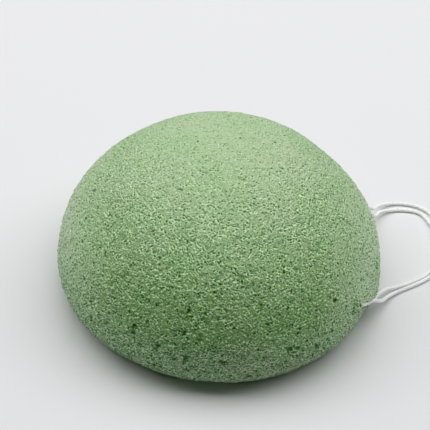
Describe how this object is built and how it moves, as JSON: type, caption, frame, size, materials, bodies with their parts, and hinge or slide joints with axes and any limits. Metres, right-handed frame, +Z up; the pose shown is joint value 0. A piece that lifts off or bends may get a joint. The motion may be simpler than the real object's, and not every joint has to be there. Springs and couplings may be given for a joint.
{
  "type": "konjac sponge",
  "caption": "Half ball of soft porous konjac foam with a flat base, for washing the face, on a knotted cotton cord that hangs it up to dry.",
  "frame": {"origin": "centre of the flat base of the half ball", "axes": "+Z up from the flat base to the crown, +X towards the side that the cord comes out of"},
  "size_m": [0.1405, 0.08, 0.0406],
  "materials": {
    "foam": "matte, open pored foam",
    "cotton": "matte, twisted thread"
  },
  "bodies": {
    "sponge": {"sponge_body": "foam", "threaded_upper_strand": "cotton", "threaded_lower_strand": "cotton"},
    "cord_loop": {"front_outer_strand": "cotton", "front_inner_strand": "cotton", "back_outer_strand": "cotton", "back_inner_strand": "cotton", "cord_knot": "cotton", "hanging_loop": "cotton", "short_tail": "cotton", "long_tail": "cotton"}
  },
  "joints": [
    {"name": "loop_swing", "type": "hinge", "parent": "sponge", "child": "cord_loop", "pos_m": [0.041, 0.0075, 0.0034], "axis": [0, -1, 0], "range_deg": [-90, 100]}
  ]
}
